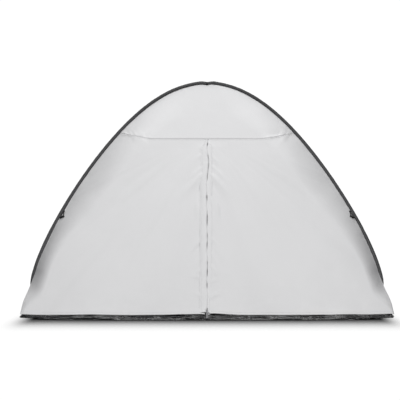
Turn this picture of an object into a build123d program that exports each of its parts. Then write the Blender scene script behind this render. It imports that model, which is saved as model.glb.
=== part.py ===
"""Two-hoop pop-up shelter with a closed front made of two triangular doors.

Own frame, millimetres: X is the width (the viewer's right when facing the
front is +X), the front faces -Y, Z is up, and the origin is the middle of the
footprint on the ground. Each panel of thin cloth is a faceted sheet a few
facets wide, and each hoop is one closed spring wire in a sewn sleeve.
"""

from build123d import *
import math
import os

# ---------------------------------------------------------------- dimensions
APEX_Z = 1571.0  # hoop centre line at the top
HALF_FOOT = 800.3  # half of the depth on the ground, at the middle of the front
FACE_SLOPE = 0.5088  # how far the front leans back for each mm of height
SEAM_Z = 1164.0  # top of the doors, where the roof panel is sewn on
SEAM_RISE = 50.0  # how far that seam climbs from the middle to the hoop
SEAM_FLAT = 350.0  # half width over which the seam is level
HEM_Z = 31.0  # lower edge of every light panel
CORNER_X = 1159.0  # half width at the lower corners
HEM_BOW = 60.0  # how far the corners sit behind the middle of the hem
BOW_START = 400.0  # the hem is straight up to this half width
CLOTH = 1.6  # thickness of a cloth panel
WIRE_R = 2.5  # spring wire
BINDING_R = 10.0  # sleeve over the arch part of a hoop
BINDING_BORE = 3.0
HEM_SLEEVE_R = 8.0  # sleeve over the ground part of a hoop
HEM_SLEEVE_BORE = 4.8
EDGE_GAP = 12.6  # a panel's edge to the wire's centre line
HINGE_GAP = 1.6  # a panel's edge to the fold line that it hinges on
SHEET_T = 1.5  # groundsheet
SILL_BACK = 3.0  # the groundsheet's rim stands this far behind the doors
SILL_Z = 44.0  # top of the rim along the doors
SILL_LOW = 27.0  # top of the rim at the corners and along the sides
ZIP_TOP = 46.0  # how far under the seam the zip begins
TOGGLE_L = 42.0  # length of the tie-back toggle between its round ends
ZIP_REST_Z = 52.0  # height of the closed slider
SLIDER_L = 13.0
TAPE_W = 15.0
DOOR_SWING = 140.0
TIE_Z = 668.0  # height of the tie-back tab on the hoop

# centre line of the arch: half width, height
ARCH = [
    (117.6, 1558.0), (230.2, 1521.4), (334.9, 1465.9), (431.1, 1396.7),
    (519.5, 1317.7), (601.3, 1231.8), (677.6, 1141.0), (749.3, 1046.6),
    (817.2, 949.3), (881.1, 849.4), (941.1, 747.1), (996.8, 642.4),
    (1047.7, 535.2), (1092.3, 425.4), (1127.7, 312.2), (1144.0, 215.0),
]
# lower corner of the hoop, inside the cloth: x, y, z
TURN = [
    (1129.0, -452.0, 133.0), (1090.0, -520.0, 68.0), (1018.0, -592.0, 27.0),
    (910.0, -664.0, 13.0),
]
HEM_RUN = [(760.0, -708.0, 12.0), (560.0, -731.0, 12.0), (330.0, -738.0, 12.0)]
# free edge of the front cloth below the arch: x, y, z
SKIRT = [(1157.0, -430.0, 188.0), (1161.0, -575.0, 102.0), (1159.0, -724.0, HEM_Z)]


def arch_y(z):
    """How far the front hoop has spread from the middle at height z."""
    return -10.6 - 500.0 * max(0.0, 1.0 - z / 1580.0) ** 1.6


def face_y(z):
    """The flat middle of the front at height z."""
    return -HALF_FOOT + FACE_SLOPE * z


def bow(x):
    d = max(0.0, abs(x) - BOW_START) / (CORNER_X - BOW_START)
    return HEM_BOW * d * d


def seam_z(x):
    d = max(0.0, abs(x) - SEAM_FLAT) / (590.0 - SEAM_FLAT)
    return SEAM_Z + SEAM_RISE * min(1.0, d) ** 1.5


# outer edge of the front half, from the apex to the corner: x, y, z
EDGE = [(0.0, arch_y(APEX_Z), APEX_Z)]
EDGE += [(x, arch_y(z), z) for x, z in ARCH]
EDGE += SKIRT


def edge_at(z):
    """Outer edge at height z: x, y."""
    for (x0, y0, z0), (x1, y1, z1) in zip(EDGE, EDGE[1:]):
        if z1 <= z <= z0:
            t = (z0 - z) / (z0 - z1)
            return x0 + t * (x1 - x0), y0 + t * (y1 - y0)
    return EDGE[-1][:2] if z < HEM_Z else EDGE[0][:2]


def fold_x(z):
    """Half width of the door, on the straight line from the seam to the corner."""
    return max(0.0, (SEAM_Z - z) / (SEAM_Z - HEM_Z)) * CORNER_X


def base_y(x, z):
    """Front surface without the turn towards the hoop."""
    x, tau = abs(x), max(0.0, (SEAM_Z - z) / (SEAM_Z - HEM_Z))
    xd = fold_x(z)
    if x <= xd:
        return face_y(z) + (tau * bow(x / tau) if tau > 0 else 0.0)
    lean = 2 * HEM_BOW / (CORNER_X - BOW_START) * min(1.0, 2 * tau)
    return face_y(z) + tau * HEM_BOW + lean * (x - xd)


def nearest_edge(x, z):
    best = None
    for (x0, y0, z0), (x1, y1, z1) in zip(EDGE, EDGE[1:]):
        dx, dz = x1 - x0, z1 - z0
        t = ((x - x0) * dx + (z - z0) * dz) / (dx * dx + dz * dz)
        t = min(1.0, max(0.0, t))
        px, py, pz = x0 + t * dx, y0 + t * (y1 - y0), z0 + t * dz
        d = math.hypot(x - px, z - pz)
        if best is None or d < best[0]:
            best = (d, px, py, pz)
    return best


def front_y(x, z):
    """The whole front surface, which turns back to meet the hoop near its edge."""
    x = abs(x)
    d, ex, ey, ez = nearest_edge(x, z)
    reach = min(250.0, max(8.0, 0.8 * (ex - fold_x(ez))))
    turn = ey - base_y(ex, ez)
    g = max(0.0, 1.0 - d / reach) ** 2
    return base_y(x, z) + turn * g


# ------------------------------------------------------------------- helpers
def sub(a, b):
    return (a[0] - b[0], a[1] - b[1], a[2] - b[2])


def add(a, b, k=1.0):
    return (a[0] + k * b[0], a[1] + k * b[1], a[2] + k * b[2])


def cross(a, b):
    return (
        a[1] * b[2] - a[2] * b[1],
        a[2] * b[0] - a[0] * b[2],
        a[0] * b[1] - a[1] * b[0],
    )


def unit(a):
    n = math.sqrt(sum(c * c for c in a))
    return (a[0] / n, a[1] / n, a[2] / n)


def dist(a, b):
    return math.sqrt(sum((p - q) ** 2 for p, q in zip(a, b)))


def sheet(points, triangles, inner=0.0, outer=CLOTH):
    """A closed sheet around a triangulated surface, grown along its normals."""
    used = sorted({i for t in triangles for i in t})
    normal = {i: (0.0, 0.0, 0.0) for i in used}
    for a, b, c in triangles:
        n = cross(sub(points[b], points[a]), sub(points[c], points[a]))
        for i in (a, b, c):
            normal[i] = add(normal[i], n)
    top = {i: add(points[i], unit(normal[i]), outer) for i in used}
    low = {i: add(points[i], unit(normal[i]), -inner) for i in used}
    faces, edges = [], {}
    for a, b, c in triangles:
        faces.append([top[a], top[b], top[c]])
        faces.append([low[a], low[c], low[b]])
        for e in ((a, b), (b, c), (c, a)):
            edges[e] = True
    for a, b in edges:
        if (b, a) not in edges:
            faces.append([top[b], top[a], low[a]])
            faces.append([top[b], low[a], low[b]])
    shell = Shell([Face(Wire.make_polygon([Vector(*p) for p in f])) for f in faces])
    solid = Solid(shell)
    if solid.volume < 0:
        solid = Solid(shell.wrapped.Reversed())
    return solid


def grid(rows):
    """Points and triangles of a surface given as rows of equal length."""
    n = len(rows[0])
    points = [p for row in rows for p in row]
    tris = []
    for r in range(len(rows) - 1):
        for c in range(n - 1):
            a, b = r * n + c, r * n + c + 1
            d, e = a + n, b + n
            tris += [(a, d, b), (b, d, e)]
    return points, tris


def facing(points, tris, direction):
    """The triangles, all turned so that the sheet faces direction."""
    total = 0.0
    for a, b, c in tris:
        n = cross(sub(points[b], points[a]), sub(points[c], points[a]))
        total += sum(p * q for p, q in zip(n, direction))
    return tris if total > 0 else [(a, c, b) for a, b, c in tris]


def mirror_x(s):
    return mirror(s, about=Plane.YZ)


def mirror_y(s):
    return mirror(s, about=Plane.XZ)


def save(shape, name):
    if isinstance(shape, (list, tuple, ShapeList)):
        shape = Compound(children=list(shape))
    export_step(shape, os.path.join("parts", name + ".step"))


os.makedirs("parts", exist_ok=True)

# --------------------------------------------------------------------- hoops
half = [(0.6, HEM_RUN[-1][1], 12.0)] + HEM_RUN[::-1] + TURN[::-1]
half += [(x, arch_y(z), z) for x, z in ARCH[::-1]]
half[-1] = (96.0, arch_y(1563.0), 1565.5)
loop = half + [(-x, y, z) for x, y, z in half[::-1]]
radii = []
for a, b, c in zip(loop, loop[1:], loop[2:]):
    turn = Vector(*sub(b, a)).get_angle(Vector(*sub(c, b)))
    run = min(dist(a, b), dist(b, c))
    radii.append(0.45 * run / math.tan(math.radians(turn) / 2))
print("hoop arcs, smallest radius", round(min(radii)), "mm")
print("hoop length", round(sum(dist(a, b) for a, b in zip(loop, loop[1:]))), "mm")


def tube(points, rs, r, bore=0.0):
    path = FilletPolyline(*points, radius=rs) if rs else Polyline(*points)
    start = Vector(*points[0])
    along = Vector(*sub(points[1], points[0])).normalized()
    ring = Plane(origin=start, z_dir=along) * Circle(r)
    if bore:
        ring = ring - Plane(origin=start, z_dir=along) * Circle(bore)
    return sweep(ring, path=path)


def midpoint(a, b, t=0.5):
    return tuple(p + t * (q - p) for p, q in zip(a, b))


def stretch(i, j):
    """The loop's route from the middle of run i to the middle of run j."""
    pts = [midpoint(loop[i], loop[i + 1])] + loop[i + 1 : j + 1]
    pts += [midpoint(loop[j], loop[j + 1])]
    return pts, radii[i:j]


wire = tube(loop, radii, WIRE_R)
FIRST = len(HEM_RUN) + 1  # the run where the arch sleeve takes over
pts, rs = stretch(FIRST, len(loop) - 2 - FIRST)
binding = tube(pts, rs, BINDING_R, BINDING_BORE)
cut = Vector(*midpoint(loop[FIRST], loop[FIRST + 1]))
pts_a = loop[: FIRST + 1] + [add(tuple(cut), unit(sub(loop[FIRST], loop[FIRST + 1])), 0.5)]
hem_right = tube(
    [(30.0, loop[0][1], loop[0][2])] + pts_a[1:], radii[:FIRST], HEM_SLEEVE_R, HEM_SLEEVE_BORE
)
hem_mid = Location((0, loop[0][1], loop[0][2])) * Rotation(0, 90, 0) * (
    Cylinder(HEM_SLEEVE_R, 60.0) - Cylinder(HEM_SLEEVE_BORE, 60.0)
)
hem_sleeve = Solid.fuse(hem_mid.solid(), hem_right.solid(), mirror_x(hem_right).solid())
ferrule = Location((0, loop[0][1], loop[0][2])) * Rotation(0, 90, 0) * (
    Cylinder(4.2, 44.0) - Cylinder(WIRE_R + 0.1, 44.0)
)
for side, flip in (("front", lambda s: s), ("rear", mirror_y)):
    save(flip(wire), side + "_hoop_wire")
    save(flip(binding), side + "_arch_binding")
    save(flip(hem_sleeve), side + "_hem_sleeve")
    save(flip(ferrule), side + "_hoop_ferrule")

# the strap that ties the two hoops together at the top
top_z = half[-1][2]
strap = Location((0, 0, top_z)) * Rotation(0, 90, 0) * (
    extrude(SlotOverall(46.4, 24.0, rotation=90), 14.0, both=False)
    - extrude(SlotOverall(43.6, 21.2, rotation=90), 14.0, both=False)
)
strap = Location((-7.0, 0, 0)) * strap
save(strap, "apex_tie")

# ---------------------------------------------------------------- cloth body
# roof panel over the seam
cols = [0.0, 130.0, 260.0, 380.0, 470.0, 545.0, 597.0]


def arch_z(x):
    for (x0, _, z0), (x1, _, z1) in zip(EDGE, EDGE[1:]):
        if x0 <= x <= x1:
            return z0 + (x - x0) / (x1 - x0) * (z1 - z0)
    return HEM_Z


def roof_rows(flip):
    rows = []
    xs = [-x for x in cols[:0:-1]] + cols
    for x in xs:
        d, ex, ey, ez = nearest_edge(abs(x), arch_z(abs(x)) - 60)
        hi = arch_z(abs(x)) - (EDGE_GAP + 1.6) * (1.0 + 0.75 * (abs(x) / 590.0) ** 1.3)
        if x == 0:
            hi = arch_z(0) - 24.0
        lo = seam_z(x) + 1.4
        if hi < lo + 3.0:
            hi = lo + 3.0
        col = []
        for t in (0.0, 0.4, 0.7, 0.87, 1.0):
            z = lo + t * (hi - lo)
            col.append((x, front_y(x, z) * flip, z))
        rows.append(col)
    return rows


for side, flip in (("front", 1), ("rear", -1)):
    p, t = grid(roof_rows(flip))
    save(sheet(p, facing(p, t, (0, -flip, 0.4))), side + "_roof_panel")

# header seam tape behind the seam, on the inner face
tape_x = [-520.0, -440.0, -350.0, 350.0, 440.0, 520.0]
for side, flip in (("front", 1), ("rear", -1)):
    rows = []
    for dz in (-7.0, 9.0):
        rows.append([(x, front_y(x, seam_z(x) + dz) * flip, seam_z(x) + dz) for x in tape_x])
    p, t = grid(rows)
    save(sheet(p, facing(p, t, (0, -flip, 0.4)), inner=3.6, outer=-2.6), side + "_seam_tape")

# side part of the front, between the door's fold line and the hoop
levels = [1160.0, 1090.0, 980.0, 860.0, 730.0, 600.0, 470.0, 350.0, 245.0, 185.0, 110.0, 58.0]


def gore_edge(z):
    """Half width where a front panel ends at height z."""
    ex, ey = edge_at(z)
    if z > 215.0:
        return ex - EDGE_GAP * (1.15 if z > 900 else 0.8)
    return ex - 1.2


def gore_rows(flip=1.0):
    rows = []
    zs = [seam_z(0)] + levels[1:]
    for k, z in enumerate(zs):
        x0 = fold_x(z) + HINGE_GAP * 1.45
        x1 = gore_edge(z)
        if k == 0:
            x0, x1 = 6.0, 597.0
        reach = min(235.0, 0.75 * (x1 - x0))
        xs = [x0, 0.5 * (x0 + x1 - reach), x1 - reach, x1 - 0.62 * reach, x1 - 0.3 * reach, x1]
        if x1 - x0 < 60:
            xs = [x0 + (x1 - x0) * f for f in (0, 0.2, 0.4, 0.6, 0.8, 1.0)]
        row = []
        for x in xs:
            zz = seam_z(x) - 1.4 if k == 0 else z
            row.append((x, front_y(x, zz) * flip, zz))
        rows.append(row)
    tip = (CORNER_X - 2.2, EDGE[-1][1] * flip, HEM_Z)
    return rows, tip


rows, tip = gore_rows()
p, t = grid(rows)
n = len(rows[0])
last = (len(rows) - 1) * n
p.append(tip)
t += [(last + i, len(p) - 1, last + i + 1) for i in range(n - 1)]
gore = sheet(p, facing(p, t, (0.3, -1, 0.4)))
save(gore, "front_gore_right")
save(mirror_x(gore), "front_gore_left")

# rear wall in one piece under the rear seam
rows = []
rear_levels = [SEAM_Z] + [1060.0, 930.0, 790.0, 640.0, 490.0, 350.0, 245.0, 185.0, 105.0, HEM_Z]
for k, z in enumerate(rear_levels):
    x1 = 597.0 if k == 0 else gore_edge(z)
    reach = min(235.0, 0.45 * x1)
    if z < 300:
        reach = min(reach, 0.75 * (x1 - fold_x(z)) + 20.0)
    right = [0.36 * (x1 - reach), 0.72 * (x1 - reach), x1 - reach, x1 - 0.62 * reach, x1 - 0.3 * reach, x1]
    if z < 300:
        right = [x1 * f for f in (0.34, 0.55, 0.71, 0.83, 0.92, 1.0)]
    xs = [-x for x in right[::-1]] + [0.0] + right
    row = []
    for x in xs:
        zz = seam_z(x) - 1.4 if k == 0 else z
        row.append((x, -front_y(x, zz), zz))
    rows.append(row)
p, t = grid(rows)
save(sheet(p, facing(p, t, (0, 1, 0.4))), "rear_wall")

# side panels between the hoops, ruled straight from front to rear
side_levels = [1410.0, 1317.7, 1200.0, 1046.6, 849.4, 642.4, 425.4, 300.0, 215.0, 196.0, 178.0, 102.0, HEM_Z]
rows = []
for z in side_levels:
    ex, ey = edge_at(z)
    back = -ey - (EDGE_GAP * 1.35 if z > 190.0 else 1.5)
    x = ex if z > 215.0 else ex - 2.4
    rows.append([(x, -back, z), (x, back, z)])
p, t = grid(rows)
side = sheet(p, facing(p, t, (1, 0, 0)))
save(side, "side_panel_right")
save(mirror_x(side), "side_panel_left")

# ----------------------------------------------------------------- groundsheet
# outline of the footprint on the ground and the inner rim, as rings of points
foot_x = [0.0, 400.0, 640.0, 820.0, 960.0, 1070.0, CORNER_X - 5.0]
ring0, ring1 = [], []
back = SILL_BACK / math.cos(math.atan(FACE_SLOPE))
for x in foot_x:
    b = bow(x)
    ring0.append((x, face_y(0) + b + back, 0.0))
    k = (CORNER_X - 5.0 - 6.0) / (CORNER_X - 5.0)
    fall = min(1.0, max(0.0, (x - 800.0) / 300.0))
    zt = SILL_Z - (SILL_Z - SILL_LOW) * fall
    ring1.append((x * k, face_y(zt) + b + back, zt))
side_pt = [(CORNER_X - 5.0, -360.0), (CORNER_X - 5.0, 0.0)]
q0 = ring0 + [(x, y, 0.0) for x, y in side_pt]
q1 = ring1 + [(x - 6.0, y * 0.985, SILL_LOW) for x, y in side_pt]


def whole(q):
    """Mirror a quarter, from the front middle to the right middle, all round."""
    right = q + [(x, -y, z) for x, y, z in q[-2::-1]]
    return right + [(-x, y, z) for x, y, z in right[-2:0:-1]]


outer0, outer1 = whole(q0), whole(q1)
m = len(outer0)
p = outer0 + outer1
t = []
for i in range(m):
    j = (i + 1) % m
    t += [(i, j, m + i), (j, m + j, m + i)]
rim = sheet(p, facing(p[:], [t[0], t[1]], (0, -1, 0.4)) and t, inner=SHEET_T, outer=0.0)
floor = extrude(make_face(Polyline(*[(x, y) for x, y, _ in outer0], close=True)), SHEET_T)
sheet_all = (floor + rim).solids().sort_by(lambda s: s.volume)[-1]
sheet_all = sheet_all & (Location((0, 0, 100.0)) * Box(4000, 4000, 200.0))
save(sheet_all, "groundsheet")

# --------------------------------------------------------------------- doors
UP = unit((0.0, FACE_SLOPE, 1.0))
OUT = unit((0.0, -1.0, FACE_SLOPE))
face_plane = Plane(origin=(0, face_y(0), 0), x_dir=(1, 0, 0), z_dir=OUT)


def up(z):
    """Distance along the leaning face of height z."""
    return z / UP[2]


def slab(x0, x1, u0, u1, n0, n1):
    """A block in the leaning face: across, up the face and out of it."""
    return face_plane * Location(((x0 + x1) / 2, (u0 + u1) / 2, (n0 + n1) / 2)) * Box(
        x1 - x0, u1 - u0, n1 - n0
    )


top = (0.0, face_y(SEAM_Z), SEAM_Z)
corner = (CORNER_X, face_y(HEM_Z) + HEM_BOW, HEM_Z)
hem_x = [0.0, 400.0, 620.0, 820.0, 1000.0, CORNER_X]
hem = [(x, face_y(HEM_Z) + bow(x), HEM_Z) for x in hem_x]
# the fold line lies on the outer face, so the cloth grows inwards from it
fold = unit(sub(corner, top))
across = unit(sub(hem[-2], corner))
across = unit(sub(across, tuple(c * sum(a * b for a, b in zip(across, fold)) for c in fold)))
first = add(add(top, fold, 9.0), across, HINGE_GAP)
tipc = add(add(corner, fold, -26.0), across, HINGE_GAP)
p = [(0.7, face_y(SEAM_Z - 9.0), SEAM_Z - 9.0), (0.7, hem[0][1], HEM_Z)] + hem[1:-1] + [tipc, first]
t = [(0, 1, 2), (0, 2, 3), (0, 3, 4), (0, 4, 5), (0, 5, 6), (0, 6, 7)]
# a second row so that the fan's tip near the corner stays on the fold line
door = sheet(p, facing(p, t, (0, -1, 0.4)), inner=0.0, outer=CLOTH)
zip_hi, zip_lo = up(SEAM_Z) - ZIP_TOP, up(HEM_Z)
door = (door - slab(-5.0, 14.0, 0.0, zip_hi, -5.0, 5.0)).solids().sort_by(lambda s: s.volume)[-1]
save(door, "door_panel_right")
save(mirror_x(door), "door_panel_left")

rest_u = up(ZIP_REST_Z)
tape_r = slab(1.5, 1.5 + TAPE_W, zip_lo + 2.0, zip_hi - 1.0, -0.7, -0.1)
tape_l = slab(-1.5 - TAPE_W, -1.5, rest_u + SLIDER_L / 2 + 2.0, zip_hi - 1.0, -0.7, -0.1)
coil_r = slab(0.8, 2.9, zip_lo + 4.0, zip_hi - 4.0, -2.6, -0.7)
coil_l = slab(-2.9, -0.8, rest_u + SLIDER_L / 2 + 2.0, zip_hi - 4.0, -2.6, -0.7)
save(tape_r, "zip_tape_right")
save(tape_l, "zip_tape_left")
save(coil_r, "zip_coil_right")
save(coil_l, "zip_coil_left")
stop = slab(0.8, 4.2, zip_hi - 3.6, zip_hi - 1.2, -2.6, -0.7)
save(stop, "zip_top_stop")
box_stop = slab(0.8, 4.2, zip_lo + 1.4, zip_lo + 3.8, -2.6, -0.7)
save(box_stop, "zip_bottom_stop")

# slider: front and back plates joined by the divider between the coils
slider = slab(-5.2, 5.2, rest_u - SLIDER_L / 2, rest_u + SLIDER_L / 2, 0.4, 1.7)
slider += slab(-5.2, 5.2, rest_u - SLIDER_L / 2, rest_u + SLIDER_L / 2, -4.3, -3.1)
slider += slab(-0.35, 0.35, rest_u - SLIDER_L / 2, rest_u + SLIDER_L / 2, -3.1, 0.4)
lug_u = rest_u - 1.0
ear = slab(-1.6, 1.6, lug_u - 3.4, lug_u + 3.4, 1.7, 4.4) - (
    face_plane * Location((0, lug_u, 3.2)) * Rotation(0, 90, 0) * Cylinder(0.75, 10.0)
)
slider = (slider + ear).solids()[0]
save(slider, "zip_slider")
# pull: a pin through the lug with a ribbon tag that hangs from it
pin = face_plane * Location((0, lug_u, 3.2)) * Rotation(0, 90, 0) * Cylinder(0.55, 9.0)
pull = pin + slab(-4.4, -2.4, lug_u - 7.5, lug_u + 0.9, 2.5, 3.9) + slab(2.4, 4.4, lug_u - 7.5, lug_u + 0.9, 2.5, 3.9)
pull += slab(-4.4, 4.4, lug_u - 9.5, lug_u - 7.0, 2.5, 3.9)
save(pull.solids()[0], "zip_pull")
tag = slab(-6.5, 6.5, lug_u - 44.0, lug_u - 9.6, 2.4, 4.0)
save(tag, "zip_pull_tag")

# storm flap over the zip on the left door, and the facing on the right door
flap_lo, flap_hi = rest_u + SLIDER_L / 2 + 5.0, zip_hi - 17.0


def flap(xs):
    prof = [(x, n0) for x, n0 in xs]
    face = make_face(Polyline(*prof, close=True))
    return face_plane * Location((0, flap_lo, 0)) * Rotation(90, 0, 0) * Location(
        (0, 0, -(flap_hi - flap_lo))
    ) * extrude(face, flap_hi - flap_lo)


c = CLOTH
left_prof = [
    (-48, c + 0.1), (-34.0, c + 0.1), (-25.6, 5.6), (-0.8, 5.6), (-0.8, 6.8),
    (-26.2, 6.8), (-34.6, c + 1.3), (-48, c + 1.3),
]
right_prof = [
    (36, c + 0.1), (28.0, c + 0.1), (21.6, 5.6), (0.8, 5.6), (0.8, 6.8),
    (22.2, 6.8), (28.6, c + 1.3), (36, c + 1.3),
]
save(flap(left_prof), "storm_flap_left")
save(flap(right_prof), "storm_flap_right")

# ------------------------------------------------------------------ tie-backs
ax, ay = edge_at(TIE_Z)
bx, bz = ax - 24.0, TIE_Z - 20.0


def gradient(x, z, h=6.0):
    fx = (front_y(x + h, z) - front_y(x - h, z)) / (2 * h)
    fz = (front_y(x, z + h) - front_y(x, z - h)) / (2 * h)
    return unit((fx, -1.0, fz))


nrm = gradient(bx, bz)
level = unit(cross(nrm, (0.0, 0.0, 1.0)))
down = unit(cross(level, nrm))
if down[2] > 0:
    down = tuple(-c for c in down)
# it hangs between the line of steepest fall and straight down
plumb = unit((0.0, -nrm[2], nrm[1]))
down = unit(tuple(0.45 * a + 0.55 * b for a, b in zip(down, plumb)))
# the pivot lies beside the inner edge of the binding, just clear of the cloth
px = ax - 24.0
pz = TIE_Z - 4.0
pivot = add((px, front_y(px, pz), pz), nrm, 7.5)
side_dir = unit(cross(nrm, down))
tie_plane = Plane(origin=pivot, x_dir=side_dir, z_dir=nrm)
sgn = 1.0 if (tie_plane.y_dir.Z > 0) else -1.0


def tie(shape):
    return tie_plane * shape


loop_pts_o = [(-5.0, 4.0 * sgn), (5.0, 4.0 * sgn), (5.0, -6.0 * sgn), (18.0, -38.0 * sgn), (-18.0, -38.0 * sgn), (-5.0, -6.0 * sgn)]
loop_pts_i = [(-1.0, -13.0 * sgn), (1.0, -13.0 * sgn), (8.5, -31.5 * sgn), (-8.5, -31.5 * sgn)]
webbing = extrude(
    make_face(Polyline(*loop_pts_o, close=True)) - make_face(Polyline(*loop_pts_i, close=True)), 1.6
)
webbing = Location((0, 0, -0.8)) * webbing
webbing = webbing - Location((0, 0, 0)) * Rotation(0, 90, 0) * Cylinder(1.5, 30.0)
webbing += (Rotation(0, 90, 0) * Cylinder(2.9, 10.0)) - (Rotation(0, 90, 0) * Cylinder(1.5, 30.0))
toggle = Location((0, -43.6 * sgn, 0)) * Rotation(0, 90, 0) * Cylinder(4.4, TOGGLE_L)
toggle += Location((TOGGLE_L / 2, -43.6 * sgn, 0)) * Sphere(4.4)
toggle += Location((-TOGGLE_L / 2, -43.6 * sgn, 0)) * Sphere(4.4)
toggle = toggle - Location((0, -38.0 * sgn, 0)) * Box(60, 1.0, 1.8)
bar = Rotation(0, 90, 0) * Cylinder(1.1, 17.0)
tab = bar + Location((7.6, 0, 0)) * Box(2.0, 6.0, 5.0) + Location((-7.6, 0, 0)) * Box(2.0, 6.0, 5.0)
tab += Location((0, 7.4 * sgn, 0)) * Box(17.2, 2.2, 5.0)
tab += Location((7.6, 4.6 * sgn, 0)) * Box(2.0, 7.0, 5.0) + Location((-7.6, 4.6 * sgn, 0)) * Box(2.0, 7.0, 5.0)
web = tie(webbing).solids()[0]
tog = tie(toggle).solids().sort_by(lambda s: s.volume)[-1]
tabs = tie(tab).solids()[0]
for part, name in ((tabs, "tieback_tab"), (web, "tieback_loop"), (tog, "tieback_toggle")):
    save(part, name + "_right")
    save(mirror_x(part), name + "_left")

print("pivot", [round(c, 2) for c in pivot], "level", [round(c, 4) for c in side_dir])
print("nrm", [round(c, 4) for c in nrm], "down", [round(c, 4) for c in down])
print("fold axis from", top, "to", corner, "dir", [round(c, 5) for c in fold])
print("UP", [round(c, 5) for c in UP], "travel", round(zip_hi - 6.0 - SLIDER_L / 2 - rest_u, 1))
lug = add(add((0, face_y(0), 0), UP, lug_u), OUT, 3.2)
print("lug", [round(c, 2) for c in lug])
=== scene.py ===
import math

import bpy
import numpy as np
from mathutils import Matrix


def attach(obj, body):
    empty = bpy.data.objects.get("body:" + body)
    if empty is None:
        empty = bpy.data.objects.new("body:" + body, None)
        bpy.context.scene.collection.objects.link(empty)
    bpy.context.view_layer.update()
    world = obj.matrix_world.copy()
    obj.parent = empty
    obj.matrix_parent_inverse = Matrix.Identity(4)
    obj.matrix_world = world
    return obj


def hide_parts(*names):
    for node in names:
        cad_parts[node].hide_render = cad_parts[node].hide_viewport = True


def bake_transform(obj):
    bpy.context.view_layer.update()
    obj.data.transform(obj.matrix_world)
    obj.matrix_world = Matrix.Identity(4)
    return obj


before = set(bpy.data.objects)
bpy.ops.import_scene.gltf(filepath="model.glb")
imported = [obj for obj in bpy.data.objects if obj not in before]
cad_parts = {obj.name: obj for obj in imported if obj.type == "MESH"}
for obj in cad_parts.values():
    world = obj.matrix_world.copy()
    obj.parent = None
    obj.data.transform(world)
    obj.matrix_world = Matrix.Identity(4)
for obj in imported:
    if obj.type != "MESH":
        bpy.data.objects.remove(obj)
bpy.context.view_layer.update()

# ------------------------------------------------------------------ dimensions
# The same numbers as the CAD model, in metres.
HALF_FOOT = 0.8003
FACE_SLOPE = 0.5088
SEAM_Z = 1.164
SEAM_RISE = 0.050
SEAM_FLAT = 0.350
HEM_Z = 0.031
CORNER_X = 1.159
HEM_BOW = 0.060
BOW_START = 0.400
ARCH = [
    (0.1176, 1.5580), (0.2302, 1.5214), (0.3349, 1.4659), (0.4311, 1.3967),
    (0.5195, 1.3177), (0.6013, 1.2318), (0.6776, 1.1410), (0.7493, 1.0466),
    (0.8172, 0.9493), (0.8811, 0.8494), (0.9411, 0.7471), (0.9968, 0.6424),
    (1.0477, 0.5352), (1.0923, 0.4254), (1.1277, 0.3122), (1.1440, 0.2150),
]
TURN = [(1.129, -0.452, 0.133), (1.090, -0.520, 0.068), (1.018, -0.592, 0.027), (0.910, -0.664, 0.013)]
HEM_RUN = [(0.760, -0.708, 0.012), (0.560, -0.731, 0.012), (0.330, -0.738, 0.012)]
SKIRT = [(1.149, -0.492, 0.165), (1.157, -0.632, 0.098), (1.159, -0.724, HEM_Z)]
TUCK = 0.0100
REACH = 0.200


def arch_y(z):
    return -0.0106 - 0.5 * np.maximum(0.0, 1.0 - np.asarray(z) / 1.58) ** 1.6


# ---------------------------------------------------------------------- noise
_rng = np.random.RandomState(7)
_LAT = _rng.rand(64, 64, 8)


def noise2(u, v, k=0):
    """Smooth value noise from -1 to 1 over a plane."""
    u, v = np.asarray(u, float), np.asarray(v, float)
    iu, iv = np.floor(u).astype(int), np.floor(v).astype(int)
    fu, fv = u - iu, v - iv
    fu, fv = fu * fu * fu * (fu * (fu * 6 - 15) + 10), fv * fv * fv * (fv * (fv * 6 - 15) + 10)
    g = lambda a, b: _LAT[a % 64, b % 64, k % 8]
    top = g(iu, iv) * (1 - fu) + g(iu + 1, iv) * fu
    bot = g(iu, iv + 1) * (1 - fu) + g(iu + 1, iv + 1) * fu
    return 2 * (top * (1 - fv) + bot * fv) - 1


def fbm(u, v, k=0, n=3):
    s, a, t = 0.0, 1.0, 0.0
    for i in range(n):
        s = s + a * noise2(np.asarray(u) * 2**i + 17.3 * i, np.asarray(v) * 2**i + 5.1 * i, k + i)
        t += a
        a *= 0.5
    return s / t


def smooth(x, a, b):
    t = np.clip((np.asarray(x, float) - a) / (b - a), 0.0, 1.0)
    return t * t * (3 - 2 * t)


def spline(points, n):
    """A centripetal Catmull-Rom curve through the points, evenly spaced."""
    P = np.array(points, float)
    P = np.vstack([2 * P[0] - P[1], P, 2 * P[-1] - P[-2]])
    out = []
    for i in range(1, len(P) - 2):
        p0, p1, p2, p3 = P[i - 1], P[i], P[i + 1], P[i + 2]
        t0 = 0.0
        t1 = t0 + np.linalg.norm(p1 - p0) ** 0.5
        t2 = t1 + np.linalg.norm(p2 - p1) ** 0.5
        t3 = t2 + np.linalg.norm(p3 - p2) ** 0.5
        t = np.linspace(t1, t2, 40, endpoint=False)[:, None]
        a1 = (t1 - t) / (t1 - t0) * p0 + (t - t0) / (t1 - t0) * p1
        a2 = (t2 - t) / (t2 - t1) * p1 + (t - t1) / (t2 - t1) * p2
        a3 = (t3 - t) / (t3 - t2) * p2 + (t - t2) / (t3 - t2) * p3
        b1 = (t2 - t) / (t2 - t0) * a1 + (t - t0) / (t2 - t0) * a2
        b2 = (t3 - t) / (t3 - t1) * a2 + (t - t1) / (t3 - t1) * a3
        out.append((t2 - t) / (t2 - t1) * b1 + (t - t1) / (t2 - t1) * b2)
    out = np.vstack(out + [P[-2][None]])
    s = np.r_[0, np.cumsum(np.linalg.norm(np.diff(out, axis=0), axis=1))]
    q = np.linspace(0, s[-1], n)
    return np.stack([np.interp(q, s, out[:, i]) for i in range(out.shape[1])], 1)


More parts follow.
